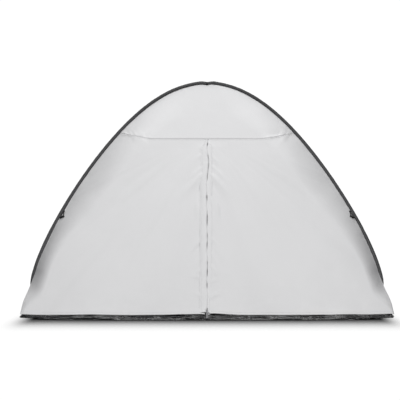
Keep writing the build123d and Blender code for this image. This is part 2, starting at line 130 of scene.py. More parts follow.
# outer edge of the front half: apex, arch, then the cloth's own free edge
_arch3 = [(x, float(arch_y(z)), z) for x, z in ARCH]
_mid = [(-x, y, z) for x, y, z in _arch3[1::-1]]
EDGE = spline(_mid + [(0.0, float(arch_y(1.571)), 1.571)] + _arch3 + SKIRT, 1200)
EDGE = EDGE[EDGE[:, 0] >= 0]
EDGE[0, 0] = 0.0


# the cloth is sewn to the inner side of the binding, down to where it leaves it
_d = np.gradient(EDGE, axis=0)
_d /= np.hypot(_d[:, 0], _d[:, 2])[:, None]
SEWN = EDGE.copy()
_k = TUCK * smooth(EDGE[:, 2], 0.19, 0.29)
SEWN[:, 0] -= -_d[:, 2] * _k
SEWN[:, 2] -= _d[:, 0] * _k
SEWN = SEWN[SEWN[:, 0] >= 0]
SEWN = np.vstack([[0.0, SEWN[0, 1], SEWN[0, 2]], SEWN])


def sewn_x(z):
    o = SEWN[::-1]
    return float(np.interp(z, o[:, 2], o[:, 0]))


def edge_at(z):
    """Outer edge at height z: x, y."""
    z = np.asarray(z, float)
    o = EDGE[::-1]
    return np.interp(z, o[:, 2], o[:, 0]), np.interp(z, o[:, 2], o[:, 1])


def face_y(z):
    return -HALF_FOOT + FACE_SLOPE * np.asarray(z)


def bow(x):
    d = np.maximum(0.0, np.abs(x) - BOW_START) / (CORNER_X - BOW_START)
    return HEM_BOW * d * d


def seam_z(x):
    d = np.maximum(0.0, np.abs(x) - SEAM_FLAT) / (0.590 - SEAM_FLAT)
    wave = 0.0022 * noise2(np.abs(x) * 30.0 + 3.0 * np.sign(x), 0.2 + 0 * x, 3) * np.minimum(1, 1.4 * d)
    return SEAM_Z + SEAM_RISE * np.minimum(1.12, d) ** 1.5 + wave


def fold_x(z):
    return np.maximum(0.0, (SEAM_Z - np.asarray(z)) / (SEAM_Z - HEM_Z)) * CORNER_X


def base_y(x, z):
    x = np.abs(x)
    tau = np.maximum(1e-6, (SEAM_Z - z) / (SEAM_Z - HEM_Z))
    xd = fold_x(z)
    fade = 0.25 + 0.75 * smooth(tau, 0.0, 0.55)
    inside = tau * bow(x / tau) * fade
    lean = 2 * HEM_BOW / (CORNER_X - BOW_START) * fade * smooth(tau, 0.0, 0.35)
    beyond = tau * HEM_BOW * fade + lean * (x - xd)
    return face_y(z) + np.where(x <= xd, inside, beyond)


_ex, _ey, _ez = SEWN[:, 0], SEWN[:, 1], SEWN[:, 2]
_turn = _ey - base_y(_ex, _ez)
_w = np.hanning(61)
_w /= _w.sum()
_pad = np.r_[[_turn[0]] * 30, _turn, _turn[-1] + (_turn[-1] - _turn[-2]) * np.arange(1, 31)]
_soft = np.convolve(_pad, _w, "valid")
_turn = _soft * smooth(_ez, 0.035, 0.10) + _turn * (1 - smooth(_ez, 0.035, 0.10))
_reach = np.minimum(0.125 + (REACH - 0.125) * smooth(_ez, 0.35, 0.95), np.maximum(0.010, 0.92 * (_ex - fold_x(_ez))))
_pad = np.r_[[_reach[0]] * 30, _reach, _reach[-1] + (_reach[-1] - _reach[-2]) * np.arange(1, 31)]
_reach = np.maximum(0.010, np.convolve(_pad, _w, "valid")) * smooth(_ez, 0.035, 0.10) + _reach * (1 - smooth(_ez, 0.035, 0.10))


# where the seam meets the sewn edge
_q = np.argmin(np.abs(seam_z(SEWN[200:900, 0]) - SEWN[200:900, 2])) + 200
TOP_X = float(SEWN[_q, 0])
TOP_SEAM = float(SEWN[_q, 2])


def nearest(x, z):
    """Distance to the edge in the front view, and which edge point is nearest."""
    x, z = np.abs(np.ravel(x)), np.ravel(z)
    d = np.empty(len(x))
    k = np.empty(len(x), int)
    for i in range(0, len(x), 4000):
        q = (x[i : i + 4000, None] - _ex) ** 2 + (z[i : i + 4000, None] - _ez) ** 2
        k[i : i + 4000] = q.argmin(1)
        d[i : i + 4000] = np.sqrt(q.min(1))
    return d, k


def front_y(x, z):
    shape = np.shape(x)
    d, k = nearest(x, z)
    d, k = d.reshape(shape), k.reshape(shape)
    g = np.maximum(0.0, 1.0 - d / _reach[k])
    g = g * g * (1.0 + 0.35 * (1.0 - g))
    return base_y(np.asarray(x), np.asarray(z)) + _turn[k] * g, d, k


# ------------------------------------------------------------------- meshes
def build(name, V, F, uv=None, mat=None, smooth_shade=True):
    me = bpy.data.meshes.new(name)
    me.from_pydata([tuple(v) for v in np.asarray(V, float)], [], [tuple(int(i) for i in f) for f in F])
    if uv is not None:
        layer = me.uv_layers.new(name="UVMap")
        idx = np.empty(len(me.loops), int)
        me.loops.foreach_get("vertex_index", idx)
        layer.data.foreach_set("uv", np.asarray(uv, float)[idx].ravel())
    me.validate()
    ob = bpy.data.objects.new(name, me)
    bpy.context.scene.collection.objects.link(ob)
    if smooth_shade:
        me.polygons.foreach_set("use_smooth", [True] * len(me.polygons))
    if mat:
        me.materials.append(mat)
    me.update()
    return ob


def grid_normals(P):
    du = np.gradient(P, axis=1)
    dv = np.gradient(P, axis=0)
    n = np.cross(du, dv)
    return n / np.maximum(np.linalg.norm(n, axis=2, keepdims=True), 1e-12)


def cloth(name, P, mat, outward, thick=0.0006, uv=None, close_u=False):
    """A closed thin sheet from a grid of points (rows, columns, 3)."""
    r, c = P.shape[:2]
    N = grid_normals(P)
    if (N.reshape(-1, 3) @ np.array(outward, float)).sum() < 0:
        P = P[:, ::-1]
        uv = uv[:, ::-1] if uv is not None else None
        N = -N[:, ::-1]
    if uv is None:
        s = np.zeros((r, c))
        s[:, 1:] = np.cumsum(np.linalg.norm(np.diff(P, axis=1), axis=2), 1)
        t = np.zeros((r, c))
        t[1:] = np.cumsum(np.linalg.norm(np.diff(P, axis=0), axis=2), 0)
        uv = np.stack([s, t], 2)
    # degenerate rows have no normal of their own, so they borrow a neighbour's
    ok = np.linalg.norm(N, axis=2) > 0.5
    for i in range(r):
        if not ok[i].all():
            j = i + 1 if i < r // 2 else i - 1
            N[i][~ok[i]] = N[j][~ok[i]]
    top, low = P + N * thick / 2, P - N * thick / 2
    V = np.vstack([top.reshape(-1, 3), low.reshape(-1, 3)])
    U = np.vstack([uv.reshape(-1, 2), uv.reshape(-1, 2)])
    n = r * c
    F = []
    a = np.arange(n).reshape(r, c)
    q = np.stack([a[:-1, :-1], a[:-1, 1:], a[1:, 1:], a[1:, :-1]], -1).reshape(-1, 4)
    F += q.tolist()
    F += (q[:, ::-1] + n).tolist()
    loop = list(a[0, :]) + list(a[1:, -1]) + list(a[-1, -2::-1]) + list(a[-2:0:-1, 0])
    for i, j in zip(loop, loop[1:] + loop[:1]):
        F.append([j, i, i + n, j + n])
    ob = build(name, V, F, U, mat)
    weld(ob)
    return ob


def weld(ob, dist=1e-6):
    import bmesh

    bm = bmesh.new()
    bm.from_mesh(ob.data)
    bmesh.ops.remove_doubles(bm, verts=bm.verts, dist=dist)
    bmesh.ops.dissolve_degenerate(bm, edges=bm.edges, dist=1e-7)
    bm.to_mesh(ob.data)
    bm.free()


def sweep(name, path, section, mat, closed=False, up=(0.0, 1.0, 0.0), caps=True):
    """A tube along a path; section(i, s) gives its outline in (side, up) metres."""
    path = np.asarray(path, float)
    n = len(path)
    if closed:
        T = np.roll(path, -1, 0) - np.roll(path, 1, 0)
    else:
        T = np.gradient(path, axis=0)
    T /= np.linalg.norm(T, axis=1, keepdims=True)
    s = np.r_[0, np.cumsum(np.linalg.norm(np.diff(path, axis=0), axis=1))]
    up = np.broadcast_to(np.array(up, float), path.shape)
    side = np.cross(T, up)
    side /= np.linalg.norm(side, axis=1, keepdims=True)
    upv = np.cross(side, T)
    rings, uvs = [], []
    for i in range(n):
        sec = np.asarray(section(i, s[i]))
        rings.append(path[i] + sec[:, :1] * side[i] + sec[:, 1:2] * upv[i])
        g = np.r_[0, np.cumsum(np.linalg.norm(np.diff(sec, axis=0), axis=1))]
        uvs.append(np.stack([np.full(len(sec), s[i]), g], 1))
    m = len(rings[0])
    V = np.vstack(rings)
    U = np.vstack(uvs)
    F = []
    last = n if closed else n - 1
    for i in range(last):
        j = (i + 1) % n
        for k in range(m):
            l = (k + 1) % m
            F.append([i * m + k, j * m + k, j * m + l, i * m + l])
    if caps and not closed:
        F.append(list(range(m)))
        F.append(list(range((n - 1) * m, n * m))[::-1])
    ob = build(name, V, F, U, mat)
    fix_normals(ob)
    return ob


def fix_normals(ob):
    import bmesh

    bm = bmesh.new()
    bm.from_mesh(ob.data)
    bmesh.ops.recalc_face_normals(bm, faces=bm.faces)
    bm.to_mesh(ob.data)
    bm.free()


# ------------------------------------------------------------------ materials
class M:
    """A small helper to write node materials."""

    def __init__(self, name):
        self.m = bpy.data.materials.new(name)
        self.m.use_nodes = True
        self.t = self.m.node_tree
        self.b = self.t.nodes["Principled BSDF"]

    def node(self, kind, **props):
        n = self.t.nodes.new(kind)
        for k, v in props.items():
            setattr(n, k, v)
        return n

    def link(self, a, b):
        self.t.links.new(a, b)

    def math(self, op, a, b=None, clamp=False):
        n = self.node("ShaderNodeMath", operation=op, use_clamp=clamp)
        for i, v in enumerate((a, b)):
            if v is None:
                continue
            if isinstance(v, (int, float)):
                n.inputs[i].default_value = v
            else:
                self.link(v, n.inputs[i])
        return n.outputs[0]

    def noise(self, vec, scale, detail=2.0, rough=0.5, distortion=0.0):
        n = self.node("ShaderNodeTexNoise")
        n.inputs["Scale"].default_value = scale
        n.inputs["Detail"].default_value = detail
        n.inputs["Roughness"].default_value = rough
        n.inputs["Distortion"].default_value = distortion
        if vec is not None:
            self.link(vec, n.inputs["Vector"])
        return n.outputs["Fac"]

    def uv(self):
        n = self.node("ShaderNodeUVMap")
        n.uv_map = "UVMap"
        return n.outputs[0]

    def obj(self):
        return self.node("ShaderNodeTexCoord").outputs["Object"]

    def xyz(self, vec):
        n = self.node("ShaderNodeSeparateXYZ")
        self.link(vec, n.inputs[0])
        return n.outputs

    def remap(self, v, a, b, c, d):
        n = self.node("ShaderNodeMapRange")
        self.link(v, n.inputs[0])
        for i, k in enumerate((a, b, c, d)):
            n.inputs[i + 1].default_value = k
        return n.outputs[0]

    def mix(self, fac, a, b):
        n = self.node("ShaderNodeMix", data_type="RGBA")
        if isinstance(fac, (int, float)):
            n.inputs[0].default_value = fac
        else:
            self.link(fac, n.inputs[0])
        for i, v in ((6, a), (7, b)):
            if isinstance(v, (tuple, list)):
                n.inputs[i].default_value = (*v, 1.0)
            else:
                self.link(v, n.inputs[i])
        return n.outputs[2]

    def bump(self, height, strength, distance):
        n = self.node("ShaderNodeBump")
        n.inputs["Strength"].default_value = strength
        n.inputs["Distance"].default_value = distance
        self.link(height, n.inputs["Height"])
        self.link(n.outputs[0], self.b.inputs["Normal"])
        return n

    def weave(self, u, v, pitch):
        """Height of a plain weave, over and under, 0 to 1."""
        k = 2 * math.pi / pitch
        a = self.math("SINE", self.math("MULTIPLY", u, k))
        b = self.math("SINE", self.math("MULTIPLY", v, k))
        p = self.math("MULTIPLY", a, b)
        return self.math("ADD", self.math("MULTIPLY", p, 0.5), 0.5)


def set_in(b, **kw):
    for k, v in kw.items():
        b.inputs[k.replace("_", " ")].default_value = v


def cloth_material(name, lo, hi, rough=(0.40, 0.52), pitch=0.0009, sheen=0.0, metallic=0.0, bump=0.25):
    m = M(name)
    u, v, _ = m.xyz(m.uv())
    obj = m.obj()
    broad = m.noise(obj, 2.2, 3.0)
    fine = m.noise(obj, 900.0, 1.0)
    crease = m.noise(obj, 14.0, 4.0, 0.6, 0.6)
    w = m.weave(u, v, pitch)
    tone = m.math("ADD", m.math("MULTIPLY", broad, 0.6), m.math("MULTIPLY", fine, 0.4))
    m.link(m.mix(tone, lo, hi), m.b.inputs["Base Color"])
    m.link(m.remap(crease, 0.3, 0.7, rough[0], rough[1]), m.b.inputs["Roughness"])
    h = m.math("ADD", m.math("MULTIPLY", w, 0.12), m.math("MULTIPLY", crease, 1.0))
    m.bump(h, bump, 0.003)
    set_in(m.b, Metallic=metallic)
    m.b.inputs["Sheen Weight"].default_value = sheen
    m.b.inputs["Sheen Roughness"].default_value = 0.4
    m.b.inputs["Specular IOR Level"].default_value = 0.45
    return m.m


silver = cloth_material("silver_polyester", (0.735, 0.735, 0.745), (0.80, 0.80, 0.808), sheen=0.05)


def binding_material():
    m = M("charcoal_binding")
    u, v, _ = m.xyz(m.uv())
    # diagonal rib of a woven tape
    d = m.math("ADD", m.math("MULTIPLY", u, 2 * math.pi / 0.0016), m.math("MULTIPLY", v, 2 * math.pi / 0.0022))
    rib = m.math("ADD", m.math("MULTIPLY", m.math("SINE", d), 0.5), 0.5)
    obj = m.obj()
    worn = m.noise(obj, 9.0, 4.0, 0.6)
    tone = m.math("ADD", m.math("MULTIPLY", rib, 0.45), m.math("MULTIPLY", worn, 0.55))
    m.link(m.mix(tone, (0.030, 0.030, 0.032), (0.066, 0.066, 0.069)), m.b.inputs["Base Color"])
    m.link(m.remap(worn, 0.3, 0.7, 0.55, 0.72), m.b.inputs["Roughness"])
    m.bump(m.math("ADD", m.math("MULTIPLY", rib, 0.5), m.noise(obj, 60.0, 2.0)), 0.35, 0.0012)
    m.b.inputs["Sheen Weight"].default_value = 0.12
    m.b.inputs["Sheen Roughness"].default_value = 0.35
    return m.m


binding_mat = binding_material()


def ground_material():
    m = M("groundsheet_pe")
    u, v, _ = m.xyz(m.uv())
    obj = m.obj()
    # flat woven tape yarns, coarse like a tarpaulin
    w = m.weave(u, v, 0.0030)
    crumple = m.noise(obj, 26.0, 5.0, 0.62, 1.2)
    dust = m.noise(obj, 5.0, 4.0, 0.65)
    m.link(m.mix(m.remap(dust, 0.42, 0.72, 0.0, 1.0), (0.010, 0.010, 0.011), (0.042, 0.042, 0.044)), m.b.inputs["Base Color"])
    m.link(m.remap(dust, 0.3, 0.7, 0.18, 0.34), m.b.inputs["Roughness"])
    m.bump(m.math("ADD", m.math("MULTIPLY", w, 0.10), crumple), 0.55, 0.004)
    m.b.inputs["Specular IOR Level"].default_value = 0.75
    return m.m


ground_mat = ground_material()


def webbing_material(name, lo, hi, pitch=0.0014):
    m = M(name)
    obj = m.obj()
    x, y, z = m.xyz(obj)
    k = 2 * math.pi / pitch
    a = m.math("SINE", m.math("MULTIPLY", m.math("ADD", x, z), k))
    b = m.math("SINE", m.math("MULTIPLY", m.math("SUBTRACT", z, y), k))
    w = m.math("ADD", m.math("MULTIPLY", m.math("MULTIPLY", a, b), 0.5), 0.5)
    n = m.noise(obj, 200.0, 2.0)
    m.link(m.mix(m.math("ADD", m.math("MULTIPLY", w, 0.5), m.math("MULTIPLY", n, 0.5)), lo, hi), m.b.inputs["Base Color"])
    m.link(m.remap(n, 0.2, 0.8, 0.6, 0.8), m.b.inputs["Roughness"])
    m.bump(w, 0.5, 0.0006)
    m.b.inputs["Sheen Weight"].default_value = 0.1
    return m.m


webbing_mat = webbing_material("black_webbing", (0.008, 0.008, 0.009), (0.028, 0.028, 0.030))
ribbon_mat = webbing_material("grey_ribbon", (0.16, 0.16, 0.165), (0.30, 0.30, 0.31), 0.0010)
tape_mat = webbing_material("zip_tape_weave", (0.50, 0.50, 0.51), (0.64, 0.64, 0.65), 0.0010)
seam_mat = webbing_material("seam_tape_weave", (0.52, 0.52, 0.53), (0.66, 0.66, 0.67), 0.0012)


def hard_material(name, lo, hi, rough, metallic=0.0, scale=120.0, grain=0.2, dist=0.0004):
    m = M(name)
    obj = m.obj()
    n = m.noise(obj, scale, 4.0, 0.6)
    m.link(m.mix(n, lo, hi), m.b.inputs["Base Color"])
    m.link(m.remap(m.noise(obj, scale * 3, 2.0), 0.25, 0.75, rough[0], rough[1]), m.b.inputs["Roughness"])
    m.bump(m.noise(obj, scale * 8, 2.0), grain, dist)
    set_in(m.b, Metallic=metallic)
    return m.m


toggle_mat = hard_material("toggle_plastic", (0.008, 0.008, 0.009), (0.020, 0.020, 0.021), (0.35, 0.5))
coil_mat = hard_material("zip_coil_plastic", (0.42, 0.42, 0.43), (0.58, 0.58, 0.59), (0.3, 0.42))
steel_mat = hard_material("spring_steel", (0.34, 0.34, 0.35), (0.52, 0.52, 0.53), (0.25, 0.4), 1.0)
slider_mat = hard_material("slider_metal", (0.20, 0.20, 0.21), (0.34, 0.34, 0.35), (0.28, 0.42), 0.9)
ferrule_mat = hard_material("ferrule_metal", (0.55, 0.55, 0.57), (0.72, 0.72, 0.74), (0.3, 0.45), 1.0)


def thread_material():
    m = M("stitch_thread")
    obj = m.obj()
    n = m.noise(obj, 400.0, 2.0)
    m.link(m.mix(n, (0.34, 0.34, 0.35), (0.46, 0.46, 0.47)), m.b.inputs["Base Color"])
    set_in(m.b, Roughness=0.7)
    m.bump(n, 0.4, 0.0003)
    return m.m


thread_mat = thread_material()
dark_thread = webbing_material("binding_thread", (0.020, 0.020, 0.021), (0.045, 0.045, 0.046), 0.0008)


# --------------------------------------------------------------- front sheets
def seam_pucker(x, ds, s):
    ends = smooth(np.abs(x), 0.30, 0.48)
    p = noise2(np.abs(x) * 22.0 + ds * 14.0 + 5.0 * s, ds * 16.0 + 0.4, 6) * (0.0004 + 0.0058 * ends)
    q = noise2(np.abs(x) * 52.0 - ds * 30.0 + 9.0 * s, ds * 30.0 + 2.4, 7) * (0.0002 + 0.0022 * ends)
    groove = -0.0004 * np.exp(-((ds / 0.0035) ** 2))
    return (p + q) * np.exp(-ds / (0.009 + 0.015 * ends)) + groove


def wrinkles(x, z, d, k, side):
    """How far the cloth stands off its smooth surface, in metres."""
    s = side
    tau = (SEAM_Z - z) / (SEAM_Z - HEM_Z)
    # long soft folds that fan out from the top of the zip to the lower corner
    ang = np.abs(x) / np.maximum(0.06, (SEAM_Z + 0.06 - z))
    fan = noise2(ang * 5.0 + 3.1 * s, tau * 0.9 + 11.0, 1) * 0.0050 * smooth(tau, 0.05, 0.5)
    fan = fan + noise2(ang * 11.0 + 7.7 * s, tau * 1.6 + 3.0, 2) * 0.0018 * smooth(tau, 0.1, 0.6)
    # slack cloth between the folds
    ds = np.abs(seam_z(x) - z)
    slack = fbm(x * 2.4 + 9.0 * s, z * 2.4, 3, 3) * 0.0035 * smooth(ds, 0.0, 0.08)
    # short puckers where the cloth is sewn into the binding
    arc = k * 0.0032
    pk = noise2(arc * 9.0 + 40 * s, d * 4.0, 4) * 0.0020 * np.exp(-d / 0.035)
    pk = pk + noise2(arc * 26.0 + 40 * s, d * 9.0, 5) * 0.0012 * np.exp(-d / 0.018)
    pk = pk * smooth(z, 0.24, 0.40) * smooth(ds, 0.0, 0.03)
    # puckers along the seam under the roof, strongest at its two ends
    sm = seam_pucker(x, ds, np.sign(s))
    # a hem that hangs in shallow waves
    hem = noise2(np.abs(x) * 7.0 + 2.0 * s, 0.0 * z, 7) * 0.0035 * np.exp(-np.maximum(0, z - HEM_Z) / 0.05)
    return fan + slack + pk + sm + hem


_wr = np.random.RandomState(23)
# start (x, z), angle below level, length, width, height
RAYS = [
    (0.020, 0.925, 47, 0.260, 0.017, 0.0040), (0.020, 0.970, 40, 0.200, 0.012, 0.0018),
    (0.015, 0.880, 58, 0.170, 0.010, -0.0018), (0.062, 0.715, 79, 0.130, 0.012, 0.0026),
    (0.020, 0.770, 66, 0.150, 0.010, 0.0014), (0.015, 0.520, 52, 0.200, 0.013, 0.0020),
    (0.015, 0.480, 44, 0.150, 0.009, -0.0014), (0.020, 0.410, 60, 0.160, 0.012, 0.0016),
    (0.015, 0.330, 48, 0.140, 0.010, 0.0016), (0.015, 1.060, 35, 0.130, 0.010, 0.0014),
    (0.010, 0.120, -38, 0.120, 0.010, 0.0018), (0.010, 0.230, -25, 0.110, 0.009, 0.0012),
]
RAYS = [
    (s, x0, z0 + _wr.uniform(-0.012, 0.012), math.radians(-a + _wr.uniform(-4, 4)), l * _wr.uniform(0.85, 1.1), w, 1.7 * h * _wr.uniform(0.8, 1.2))
    for x0, z0, a, l, w, h in RAYS
    for s in (-1, 1)
]


def rays(x, z, side):
    """Soft creases that run out from the zip."""
    out = 0.0 * x
    a = np.abs(x)
    for who, x0, z0, ang, length, width, amp in RAYS:
        if who * side < 0:
            continue
        along = (a - x0) * math.cos(ang) + (z - z0) * math.sin(ang)
        perp = -(a - x0) * math.sin(ang) + (z - z0) * math.cos(ang) + 0.02 * (along / length) ** 2
        w = width * (1 + 0.8 * np.clip(along / length, 0, 1))
        out = out + amp * np.exp(-((perp / w) ** 2)) * smooth(along, -0.05, 0.04) * (1 - smooth(along, 0.35 * length, length))
    return out


NV, ND, NG = 260, 150, 120


def hem_edge(x, side):
    """The hem's own height: it rises a little at the zip and wanders."""
    lift = 0.006 * np.exp(-((np.abs(x) / 0.26) ** 2))
    return HEM_Z + lift + 0.0022 * noise2(np.abs(x) * 4.5 + 3.0 * side, 1.0 + 0 * x, 2)


def closure(x, z, side):
    """The door swells a little beside the zip, where the layers are sewn together."""
    tau = (SEAM_Z - z) / (SEAM_Z - HEM_Z)
    on = smooth(tau, 0.012, 0.06)
    wob = 0.014 * noise2(z * 6.0, 0.0 * z + side, 3)
    return on * 0.0034 * (1 - smooth(np.abs(x) + wob, 0.045, 0.150)) * smooth(np.abs(x), 0.012, 0.040)


def front_half(side, name):
    """One continuous sheet: the door and the gore beside it, from seam to hem."""
    v = np.linspace(0, 1, NV)
    tau = 0.0016 + (1 - 0.0016) * (v ** 1.12)
    wd = np.linspace(0, 1, ND)
    wd = wd * (0.35 + 0.65 * wd)  # finer near the zip
    wd[0] = 0.0
    cg = np.linspace(0, 1, NG + 1)[1:]
    cg = 1 - (1 - cg) ** 1.25  # finer near the binding
    X = np.empty((NV, ND + NG))
    Z = np.empty((NV, ND + NG))
    for j in range(NV):
        z = SEAM_Z - (SEAM_Z - HEM_Z) * tau[j]
        xd = CORNER_X * tau[j]
        X[j, :ND] = xd * wd
        Z[j, :ND] = z
        fade = max(0.0, 1 - (SEAM_Z - z) / 0.34) ** 1.7
        ze = z + (TOP_SEAM - SEAM_Z) * fade
        xe = sewn_x(ze)
        xs = xd + (xe - xd) * cg
        X[j, ND:] = xs
        Z[j, ND:] = z + (seam_z(xs) - SEAM_Z) * fade
    # the door's own edge stops up to 14 mm short of the zip, beside it
    for j in range(NV):
        x0 = min(0.0135, 0.35 * X[j, ND - 1]) + 0.0005
        X[j, :ND] = x0 + (X[j, ND - 1] - x0) * wd
    Y, d, k = front_y(X, Z)
    hemz = hem_edge(X, side)
    Z = Z + (hemz - HEM_Z) * np.exp(-(Z - HEM_Z) / 0.05)
    P = np.stack([X, Y, Z], 2)
    N = grid_normals(P)
    N *= -np.sign(N[:, :, 1:2] + 1e-9)
    N[0] = N[1]
    off = wrinkles(X, Z, d, k, side) + rays(X, Z, side) + closure(X, Z, side)
    off = off * np.minimum(1.0, 0.25 + d / 0.01)
    P = P + N * (off[:, :, None] + 0.0014)
    # below the arch the cloth's edge leaves the binding and covers it
    cover = smooth(0.370 - Z, 0.0, 0.200) * np.exp(-d / 0.045) * smooth(Z, 0.040, 0.150)
    P[:, :, 1] -= 0.012 * cover
    if side < 0:
        P[:, :, 0] *= -1
    return cloth(name, P, silver, (0, -1, 0.4), 0.0006), P


def fold_blend(ob, side):
    """Bakes the sheet's transform into its mesh; the straight line from the zip's top to the corner is worked out
    but not used.
    """
    T = np.array([0.0, float(face_y(SEAM_Z)), SEAM_Z])
    C = np.array([CORNER_X * side, float(face_y(HEM_Z)) + HEM_BOW, HEM_Z])
    f = (C - T) / np.linalg.norm(C - T)
    B = np.array([0.0, float(face_y(HEM_Z)), HEM_Z])
    a = B - T
    a -= f * (a @ f)
    a /= np.linalg.norm(a)
    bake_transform(ob)


right_sheet, PR = front_half(1, "front_sheet_right")
left_sheet, PL = front_half(-1, "front_sheet_left")
for ob, side, word in ((right_sheet, 1, "right"), (left_sheet, -1, "left")):
    fold_blend(ob, side)
    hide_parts("front_gore_" + word, "door_panel_" + word)


# ----------------------------------------------------------------- storm flaps
UP = np.array([0.0, 0.45348, 0.89127])
OUT = np.array([0.0, -0.89127, 0.45348])
FOOT = np.array([0.0, -HALF_FOOT, 0.0])


def centre_line(z):
    """Where the two flaps meet: it wanders a little from the middle."""
    c = 0.0036 * noise2(z * 7.5, 0.3 + 0 * z, 1) + 0.0022 * noise2(z * 21.0, 0.7 + 0 * z, 2)
    return c + 0.0095 * np.exp(-(((z - 0.985) / 0.065) ** 2)) * smooth(1.10 - z, 0.0, 0.06)


def gape(z):
    """How far the two flaps stand apart, in metres."""
    g = 0.0038 * np.exp(-(((z - 0.483) / 0.035) ** 2)) + 0.0045 * np.exp(-(((z - 0.300) / 0.040) ** 2))
    g = g + 0.0030 * np.exp(-(((z - 0.60) / 0.030) ** 2)) + 0.0030 * np.exp(-(((z - 1.122) / 0.010) ** 2))
    g = g + 0.0012 + 0.0034 * noise2(z * 12.0, 2.0 + 0 * z, 5) + 0.0026 * noise2(z * 29.0, 5.0 + 0 * z, 4)
    g = np.maximum(-0.0012, g + 0.0008 * smooth(1.0 - z, 0.0, 0.3))
    return g + 0.0085 * (1 - smooth(z, 0.044, 0.085))


FLAP_LO, FLAP_HI = 0.0500, (SEAM_Z - 0.0065) / 0.89127


def flap(side, name):
    nu, nx = 520, 46
    u = np.linspace(FLAP_LO, FLAP_HI, nu)
    z = u * 0.89127
    width = 0.047 if side < 0 else 0.037
    outer = side * np.minimum(width + 0.0015 * noise2(z * 11, side + 0 * z, 5), 0.62 * fold_x(z) + 0.0035)
    c, g = centre_line(z), gape(z)
    near_top = smooth(fold_x(z), 0.001, 0.012)
    free = (c + 0.0036 - 1.1 * g) * near_top if side < 0 else (c + 0.0004 + 0.7 * g) * near_top
    t = np.linspace(0, 1, nx)
    t = np.sin(t * math.pi / 2) ** 0.9
    X = outer[:, None] + (free - outer)[:, None] * t[None, :]
    high = (0.0098 if side < 0 else 0.0062) * (0.35 + 0.65 * near_top)
    low = 0.0018 + 0.0034 * smooth(fold_x(z), 0.02, 0.09)[:, None]
    prof = smooth(t, 0.0, 0.80)
    n = low + (high[:, None] - low) * prof[None, :]
    dist = np.abs(X - free[:, None])
    if side < 0:
        n = n - 0.0036 * np.exp(-((dist / 0.0042) ** 2))
    else:
        n = n - 0.0013 * np.exp(-((dist / 0.010) ** 2))
    zz = np.repeat(z[:, None], nx, 1)
    n = n + 0.0010 * noise2(zz * 17.0, X * 12.0 + side * 0.0, 3) * prof[None, :] + 0.0005 * noise2(zz * 60.0, X * 20, 4) * prof[None, :]
    n = n + 0.35 * rays(X, zz, side) * prof[None, :]
    n = n + 0.0010 * np.exp(-(((u - FLAP_LO) / 0.006) ** 2))[:, None]
    P = FOOT + X[:, :, None] * np.array([1.0, 0, 0]) + u[:, None, None] * UP + n[:, :, None] * OUT
    return cloth(name, P, silver, (0, -1, 0.4), 0.0009), P


flap_pts = {}
for side, word in ((-1, "left"), (1, "right")):
    ob, flap_pts[side] = flap(side, "storm_flap_cloth_" + word)
    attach(ob, "door_" + word)
    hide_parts("storm_flap_" + word)


# -------------------------------------------------------------------- stitching
def stitches(name, path, normal, pitch=0.0060, dash=0.0038, r=0.00042):
    """A row of machine stitches: short rounded dashes lying on the cloth."""
    path = np.asarray(path, float)
    s = np.r_[0, np.cumsum(np.linalg.norm(np.diff(path, axis=0), axis=1))]
    mids = np.arange(pitch, s[-1] - pitch, pitch)
    V, F = [], []
    at = lambda q, A: np.stack([np.interp(q, s, A[:, i]) for i in range(3)], 1)
    nrm = np.broadcast_to(np.asarray(normal, float), path.shape)
    for q in mids:
        p = at(np.array([q - dash / 2, q - dash / 4, q + dash / 4, q + dash / 2]), path)
        n = at(np.array([q]), nrm)[0]
        n = n / np.linalg.norm(n)
        t = p[3] - p[0]
        t /= np.linalg.norm(t)
        b = np.cross(t, n)
        b /= np.linalg.norm(b)
        base = len(V)
        for i, rr in enumerate((0.35, 1.0, 1.0, 0.35)):
            lift = r * (-0.4 if i in (0, 3) else 0.55)
            for k in range(6):
                a = k * math.pi / 3
                V.append(p[i] + n * (lift + rr * r * math.sin(a)) + b * rr * r * math.cos(a))
        for i in range(3):
            for k in range(6):
                l = (k + 1) % 6
                F.append([base + i * 6 + k, base + i * 6 + l, base + (i + 1) * 6 + l, base + (i + 1) * 6 + k])
        F.append([base + k for k in range(5, -1, -1)])
        F.append([base + 18 + k for k in range(6)])
    return build(name, V, F, None, thread_mat)


for side, word in ((-1, "left"), (1, "right")):
    P = flap_pts[side]
    for col, tag in ((3, "outer"), (7, "inner")):
        ob = stitches("flap_stitches_%s_%s" % (tag, word), P[6:-12, col] + OUT * 0.0006, OUT)
        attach(ob, "door_" + word)
    G = PR if side > 0 else PL
    for j, tag in ((3, "seam"), (NV - 4, "hem")):
        row = G[j, 2:-3]
        nr = grid_normals(G)[j, 2:-3]
        nr = nr * -np.sign(nr[:, 1:2] + 1e-9)
        ob = stitches("%s_stitches_%s" % (tag, word), row + nr * 0.0004, nr)
        fold_blend(ob, side)


